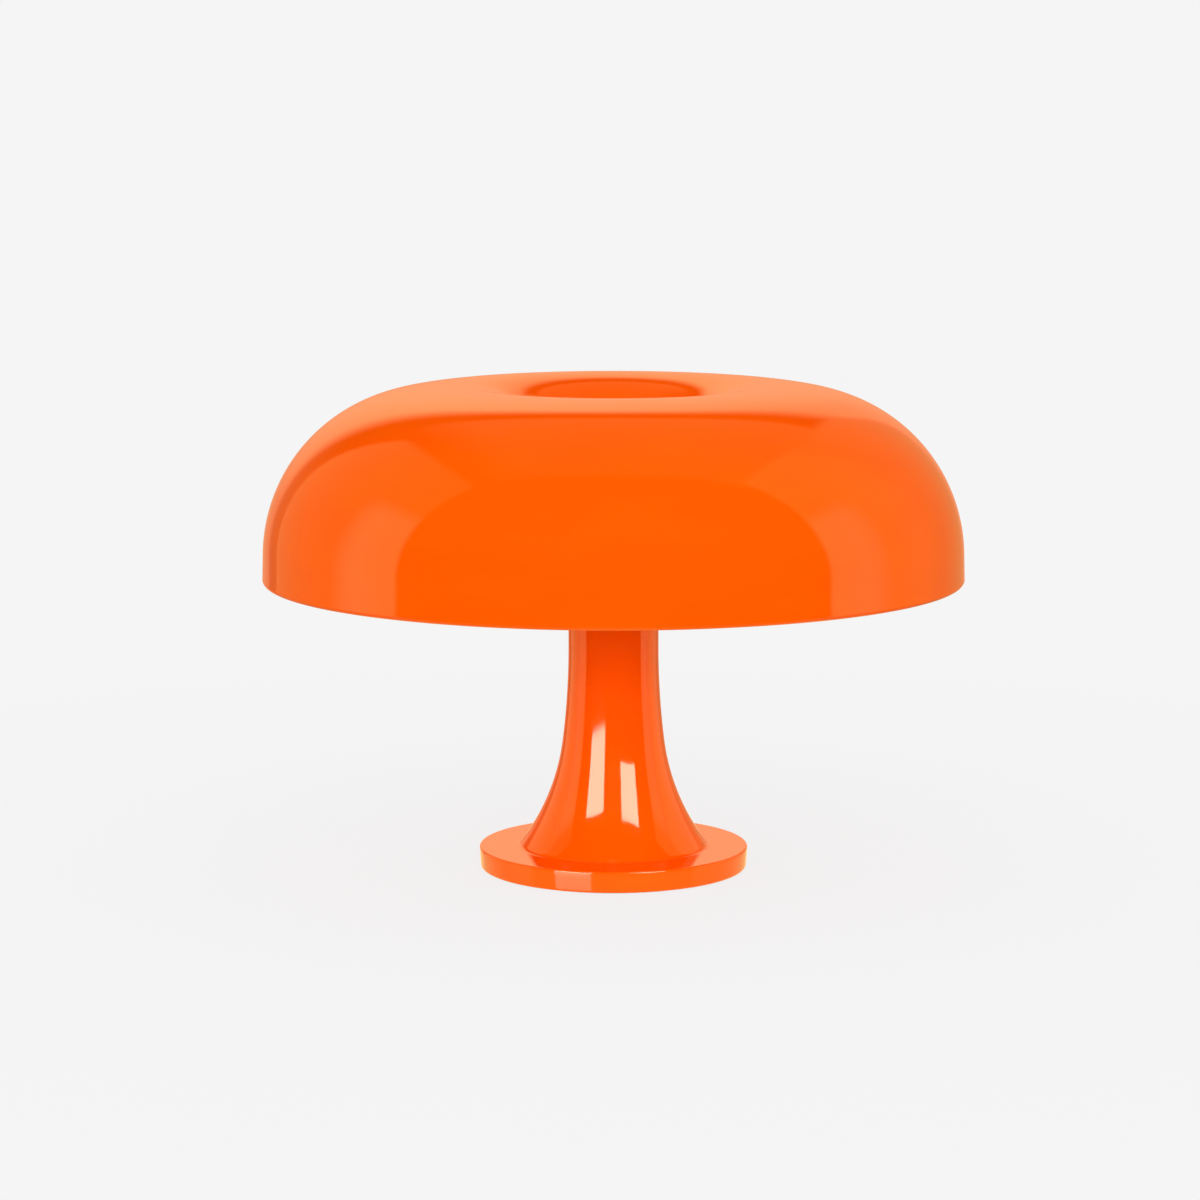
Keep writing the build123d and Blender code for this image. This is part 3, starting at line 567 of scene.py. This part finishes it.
def cap_outline():
    """The cap's thin wall, turned in at both of its ends."""
    rows = [(CAP, CAP_START + 0.4 + i * CAP_ROW) for i in range(CAP_ROWS)]
    contact_end = [(CAP_CONTACT_RING, CAP_START), (CAP - 0.35, CAP_START)]
    rolled_edge = [(CAP, CAP_END - 0.3), (CAP - 0.25, CAP_END), (CAP - 0.5, CAP_END - 0.1)]
    return contact_end + rows + rolled_edge + [(CAP_MOUTH, CAP_START + 0.6)]


def shell_thread(r, z, a):
    """Rolled thread inside a lampholder's shell, the same helix as the bulb's."""
    if r > SHELL_BORE or z < SHELL_START + SHELL_PLAIN_END:
        return r
    return r - SHELL_THREAD_DEPTH * helix(z, a)


def shell_outline():
    """The shell, a thin tube with a broken edge at its mouth."""
    rows = [(SHELL_BORE, SHELL_END - 0.3 - i * SHELL_ROW) for i in range(SHELL_ROWS)]
    outside = [(SHELL_BORE, SHELL_START), (SHELL, SHELL_START), (SHELL, SHELL_END)]
    return outside + [(SHELL_MOUTH, SHELL_END)] + rows


def groove(end):
    """A shallow groove round a lampholder, from its outer end inwards."""
    bottom = HOLDER - GROOVE_DEPTH
    start = end - GROOVE_WIDTH
    return [(HOLDER, end), (bottom, end - GROOVE_DEPTH), (bottom, start + GROOVE_DEPTH), (HOLDER, start)]


def holder_outline():
    """The lampholder, with two grooves near its mouth and a ribbed length behind them."""
    mouth = [(HOLDER_BORE, BEVEL_FROM), (BEVEL, HOLDER_END), (MOUTH_RIM, HOLDER_END)]
    ribbed = [(HOLDER, PLAIN_FROM), (RIBBED, RIBS_END), (RIBBED, RIBS_START), (HOLDER, BAND_END)]
    back_edge = [(HOLDER, BACK_EDGE_FROM), (BACK_EDGE, HOLDER_START)]
    return (
        [(HOLDER_BORE, HOLDER_ENTRY)]
        + mouth
        + arc((HOLDER - MOUTH_ROUND, HOLDER_END - MOUTH_ROUND), MOUTH_ROUND, 90, 0, 6)
        + [point for end in GROOVE_ENDS for point in groove(end)]
        + ribbed
        + back_edge
        + [(HOLDER_INLET, HOLDER_START), (HOLDER_INLET, HOLDER_ENTRY)]
    )


def holder_ribs(r, z, a):
    """Grip ribs round the back half of a lampholder."""
    if abs(r - RIBBED) > 0.01:
        return r
    return RIBBED + RIB_HEIGHT * max(0.0, cos(RIB_COUNT * a)) ** RIB_SHARPNESS


bm = bmesh.new()
for number in ARMS:
    lathe(bm, shell_outline(), 48, arm_matrix(number, ARM_HEIGHT), shell_thread)
shells = finish_mesh(bm, "threaded_shells", slots["brass"], 60)
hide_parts("lampholder_shells")
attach(shells, "base")

for number in ARMS:
    place = arm_matrix(number, ARM_HEIGHT)
    opal = slots["opal_glass"]
    glass = turned(globe_outline(), f"globe_{number}", opal, 96, 50, place)
    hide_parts(f"bulb_{number}_glass")
    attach(glass, f"bulb_{number}")

    metal = slots["bulb_cap_metal"]
    cap = turned(cap_outline(), f"threaded_cap_{number}", metal, 48, 60, place, cap_thread)
    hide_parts(f"bulb_{number}_cap")
    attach(cap, f"bulb_{number}")

    plastic = slots["holder_plastic"]
    holder = turned(holder_outline(), f"holder_{number}", plastic, 144, 35, place, holder_ribs)
    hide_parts(f"lampholder_{number}")
    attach(holder, "base")

# Camera at the photograph's viewing angle, its lens and shift from pixels of the photograph
PHOTO_WIDTH = 1200
FOCAL_PIXELS = 3751
SHIFT_PIXELS = -13.5
SENSOR = 36.0
LOOKS_DOWN = 8.16
CAMERA_PLACE = (0.0, -1.7, 0.368)
camera = bpy.data.objects.new("camera", bpy.data.cameras.new("camera"))
bpy.context.scene.collection.objects.link(camera)
camera.location = CAMERA_PLACE
camera.rotation_euler = (radians(90 - LOOKS_DOWN), 0, 0)
camera.data.sensor_width = SENSOR
camera.data.lens = FOCAL_PIXELS / PHOTO_WIDTH * SENSOR
camera.data.shift_x = SHIFT_PIXELS / PHOTO_WIDTH
camera.data.clip_start = 0.05
camera.data.clip_end = 50.0
bpy.context.scene.camera = camera

# Floor, with ranges as distances from the lamp in metres
BACKGROUND = 0.913
FLOOR_HALF_WIDTH = 4.0
FLOOR_GREY = 0.8
SHADOW_SHARE, SHADOW_FADES = 0.1, (0.25, 0.6)
MIRROR_ENDS = (0.15, 0.25)
WARM_COLOUR, WARM_LEVEL = (1.0, 0.9, 0.4, 1), 1.35


def floor_finish():
    """Pale for the camera with the object's soft shadow, warm and glossy in the object's own gloss."""
    material = bpy.data.materials.new("floor")
    material.use_nodes = True
    graph = Graph(material.node_tree)
    graph.nodes.remove(graph.nodes["Principled BSDF"])
    ray = graph.add("LightPath").outputs
    geometry = graph.add("NewGeometry").outputs
    reach = graph.length(geometry["Position"])

    pale = graph.add("Emission", {"Color": grey(BACKGROUND)}).outputs["Emission"]
    matt = graph.add("BsdfDiffuse", {"Color": grey(FLOOR_GREY)}).outputs["BSDF"]
    shadow_share = graph.spread(reach, SHADOW_SHARE, 0.0, *SHADOW_FADES)
    seen = graph.mix(shadow_share, pale, matt)

    warm = graph.add("Emission", {"Color": WARM_COLOUR, "Strength": WARM_LEVEL}).outputs["Emission"]
    mirror = graph.add("BsdfGlossy", {"Roughness": 0.04}).outputs["BSDF"]
    clear = graph.add("BsdfTransparent").outputs["BSDF"]
    fresnel = graph.add("Fresnel", {"IOR": 1.9}).outputs["Fac"]
    beyond = graph.spread(reach, 0.0, 1.0, *MIRROR_ENDS)
    mirrored = graph.mix(beyond, graph.mix(fresnel, warm, mirror), clear)

    lit = graph.mix(ray["Is Camera Ray"], matt, seen)
    from_above = graph.mix(ray["Is Glossy Ray"], lit, mirrored)
    surface = graph.mix(geometry["Backfacing"], from_above, clear)
    graph.put(graph.nodes["Material Output"].inputs["Surface"], surface)
    return material


bm = bmesh.new()
bmesh.ops.create_grid(bm, x_segments=8, y_segments=8, size=FLOOR_HALF_WIDTH)
floor = finish_mesh(bm, "floor", floor_finish())

# World: even light, a pale backdrop, and the studio's panels for what the gloss mirrors

# Of the two numbers of an edge, the first is where it is 0 and the second where it is 1.
# Behind and above are places on a side panel, in units of its distance from the lamp.
AMBIENT_LEVEL = 0.88
SIDE_EDGE = 0.02
PANEL_FRONT = (-0.31, -0.27)
LEFT_BACK, LEFT_TOP = (1.33, 1.2), (1.6, 1.4)
RIGHT_TOP = (1.9, 1.6)
LEFT_LEVEL, LEFT_LAMP_LEVEL = 0.48, 0.85
RIGHT_LEVEL, RIGHT_LAMP_LEVEL = 0.4, 0.55
RIGHT_RISE, RIGHT_RISE_LEVEL = (1.0, 0.2), 0.3
LAMP_TOP = (0.75, 0.5)
LEFT_LAMP_BACK, RIGHT_LAMP_BACK = (0.28, 0.0), (0.25, -0.05)
GAP_FROM, GAP_TOP, GAP_LEVEL = (1.15, 1.3), (0.5, 0.1), 0.22
BACKDROP_HALF_WIDTH, BACKDROP_HEIGHT, BACKDROP_POWER = 0.52, 0.58, 2.5
BACKDROP_EDGE, BACKDROP_FRONT, BACKDROP_RIGHT = (1.2, 0.55), (0.0, 0.2), (0.34, 0.27)
BACKDROP_LEVEL, BACKDROP_RISE, BACKDROP_TO_LEFT = 0.42, 1.15, -2.2
LEAST_RISE, MOST_RISE = 0.7, 1.45
CEILING_FRONT, CEILING_BACK = (-0.26, -0.14), (1.15, 1.0)
CEILING_LEFT, CEILING_FOOT, CEILING_LEVEL = (-0.62, -0.25), (0.3, 0.5), 0.3
LEAST_HEIGHT = 0.05
HORIZON, UNDER_LEVEL = (-0.4, -0.2), 0.4
RED_SHARE, RED_BASE, BACKDROP_RED = 1.4, 0.1, 0.5
BLUE_SHARE, BACKDROP_BLUE, LAMP_BLUE, UNDER_BLUE = 0.4, 0.1, 0.5, 0.5


def left_panel(sky, left_side, behind, above):
    """The left panel and the brighter lamp in its front part."""
    lamp = sky.product(sky.ramp(behind, *LEFT_LAMP_BACK), sky.ramp(above, *LAMP_TOP), left_side)
    level = sky.math("MULTIPLY_ADD", lamp, LEFT_LAMP_LEVEL, LEFT_LEVEL)
    front, back = sky.ramp(behind, *PANEL_FRONT), sky.ramp(behind, *LEFT_BACK)
    return sky.product(level, left_side, front, back, sky.ramp(above, *LEFT_TOP)), lamp


def right_panel(sky, right_side, behind, above):
    """The right panel, brighter towards its front, and the lamp there."""
    lamp = sky.product(sky.ramp(behind, *RIGHT_LAMP_BACK), sky.ramp(above, *LAMP_TOP), right_side)
    base_level = sky.math("MULTIPLY_ADD", sky.ramp(behind, *RIGHT_RISE), RIGHT_RISE_LEVEL, RIGHT_LEVEL)
    level = sky.math("MULTIPLY_ADD", lamp, RIGHT_LAMP_LEVEL, base_level)
    front = sky.ramp(behind, *PANEL_FRONT)
    return sky.product(level, right_side, front, sky.ramp(above, *RIGHT_TOP)), lamp


def backdrop_panel(sky, x, y, z, across):
    """The backdrop with round corners, brighter towards its top and its left."""
    up = sky.math("MAXIMUM", z, 0.0)
    width_part = sky.math("POWER", sky.math("DIVIDE", across, BACKDROP_HALF_WIDTH), BACKDROP_POWER)
    height_part = sky.math("POWER", sky.math("DIVIDE", up, BACKDROP_HEIGHT), BACKDROP_POWER)
    corner = sky.math("ADD", width_part, height_part)
    rise = sky.math("MULTIPLY_ADD", x, BACKDROP_TO_LEFT, BACKDROP_RISE)
    rise = sky.math("MINIMUM", sky.math("MAXIMUM", rise, LEAST_RISE), MOST_RISE)
    level = sky.math("MULTIPLY_ADD", up, rise, BACKDROP_LEVEL)
    front, right = sky.ramp(y, *BACKDROP_FRONT), sky.ramp(x, *BACKDROP_RIGHT)
    return sky.product(level, sky.ramp(corner, *BACKDROP_EDGE), front, right)


def ceiling_panel(sky, x, y, z):
    """The ceiling's panel, with its places in units of the height above the lamp."""
    over = sky.math("MAXIMUM", z, LEAST_HEIGHT)
    back = sky.math("DIVIDE", y, over)
    aside = sky.math("DIVIDE", x, over)
    depth = sky.product(sky.ramp(back, *CEILING_FRONT), sky.ramp(back, *CEILING_BACK))
    return sky.product(depth, sky.ramp(aside, *CEILING_LEFT), sky.ramp(z, *CEILING_FOOT), CEILING_LEVEL)


def studio_colour(sky):
    """What the gloss mirrors in each direction: panels above the horizon and grey below it."""
    direction = sky.add("TexCoord").outputs["Generated"]
    axes = sky.add("SeparateXYZ", {"Vector": direction}).outputs
    x, y, z = (axes[axis] for axis in "XYZ")
    across = sky.math("MAXIMUM", sky.math("ABSOLUTE", x), SIDE_EDGE)
    left_side = sky.ramp(x, SIDE_EDGE, -SIDE_EDGE)
    right_side = sky.ramp(x, -SIDE_EDGE, SIDE_EDGE)
    behind = sky.math("DIVIDE", y, across)
    above = sky.math("DIVIDE", z, across)

    left, left_lamp = left_panel(sky, left_side, behind, above)
    right, right_lamp = right_panel(sky, right_side, behind, above)
    gap = sky.product(left_side, sky.ramp(behind, *GAP_FROM), sky.ramp(z, *GAP_TOP), GAP_LEVEL)
    backdrop = backdrop_panel(sky, x, y, z, across)
    ceiling = ceiling_panel(sky, x, y, z)

    sides = sky.math("ADD", left, sky.math("MAXIMUM", right, gap))
    panels = sky.math("MAXIMUM", sky.math("MAXIMUM", sides, backdrop), ceiling)
    panels = sky.math("MULTIPLY", panels, sky.ramp(z, *HORIZON))
    under = sky.math("MULTIPLY", sky.ramp(z, *reversed(HORIZON)), UNDER_LEVEL)
    lamps = sky.product(sky.math("ADD", left_lamp, right_lamp), sky.ramp(behind, *PANEL_FRONT), LAMP_BLUE)

    extra_red = sky.math("MULTIPLY_ADD", backdrop, BACKDROP_RED, RED_BASE)
    extra_blue = sky.math("MULTIPLY_ADD", backdrop, BACKDROP_BLUE, lamps)
    red = sky.math("ADD", under, sky.math("MULTIPLY_ADD", panels, RED_SHARE, extra_red))
    green = sky.math("ADD", under, panels)
    blue = sky.math("MULTIPLY_ADD", panels, BLUE_SHARE, extra_blue)
    blue = sky.math("MULTIPLY_ADD", under, UNDER_BLUE, blue)
    return sky.add("CombineColor", {"Red": red, "Green": green, "Blue": blue}).outputs["Color"]


world = bpy.data.worlds.new("studio")
bpy.context.scene.world = world
world.use_nodes = True
sky = Graph(world.node_tree)
sky.nodes.clear()
ray = sky.add("LightPath").outputs
ambient = sky.add("Background", {"Color": grey(1), "Strength": AMBIENT_LEVEL}).outputs["Background"]
studio = sky.add("Background", {"Color": studio_colour(sky)}).outputs["Background"]
pale = sky.add("Background", {"Color": grey(BACKGROUND)}).outputs["Background"]
light = sky.mix(ray["Is Glossy Ray"], ambient, studio)
seen_direct = sky.math("MAXIMUM", ray["Is Camera Ray"], ray["Is Transmission Ray"])
sky.add("OutputWorld", {"Surface": sky.mix(seen_direct, light, pale)})


# Lights


def around(azimuth, distance, height):
    """A point round the lamp, the azimuth in degrees from the front, positive to the right."""
    a = radians(azimuth)
    return (distance * sin(a), -distance * cos(a), height)


def area_light(name, place, aim, size, radiance, receivers=(), mirrored=False, colour=(1, 1, 1)):
    """A soft area light aimed at a height on the lamp's axis, to light it or only to be mirrored."""
    data = bpy.data.lights.new(name, "AREA")
    data.color = colour
    data.shape = "RECTANGLE"
    data.size, data.size_y = size
    data.energy = radiance * pi * data.size * data.size_y
    obj = bpy.data.objects.new(name, data)
    bpy.context.scene.collection.objects.link(obj)
    obj.location = place
    obj.rotation_euler = (Vector((0, 0, aim)) - Vector(place)).to_track_quat("-Z", "Y").to_euler()
    obj.visible_camera = False
    obj.visible_glossy = mirrored
    obj.visible_diffuse = not mirrored
    if receivers:
        linked = bpy.data.collections.new(name)
        for receiver in receivers:
            linked.objects.link(receiver)
        obj.light_linking.receiver_collection = linked


BOUNCE = dict(receivers=[base], colour=(1.0, 0.02, 0.0))
STRIP = dict(radiance=13.0, mirrored=True, colour=(1.0, 1.0, 1.9))
PANEL = dict(receivers=[base], mirrored=True, colour=(1.0, 0.72, 0.4))

# Light on the whole lamp from the front, then light on the foot and stem, which the shade darkens
area_light("front", around(0, 2.0, 1.15), 0.1, (2.6, 0.8), 3.0)
area_light("front_low", around(0, 1.6, 0.5), 0.04, (1.2, 0.3), 6.5, [base])
area_light("bounce", around(0, 0.9, 0.1), 0.1, (1.2, 0.5), 0.75, **BOUNCE)

# Strips that the flare mirrors, aimed level
area_light("strip_left", around(-34.5, 1.0, 0.412), 0.412, (0.555, 0.655), receivers=[base, floor], **STRIP)
area_light("strip_right", around(30.0, 1.0, 0.6), 0.6, (0.54, 0.72), receivers=[base], **STRIP)

# Panels that the stem and foot mirror at their sides and back
area_light("side_left", around(-118, 1.4, 0.3), 0.1, (1.0, 1.3), 0.62, **PANEL)
area_light("side_right", around(118, 1.4, 0.3), 0.1, (1.0, 1.3), 0.62, **PANEL)
area_light("back", around(180, 1.4, 0.35), 0.0, (1.4, 0.6), 0.3, **PANEL)

bpy.context.scene.view_settings.view_transform = "Standard"
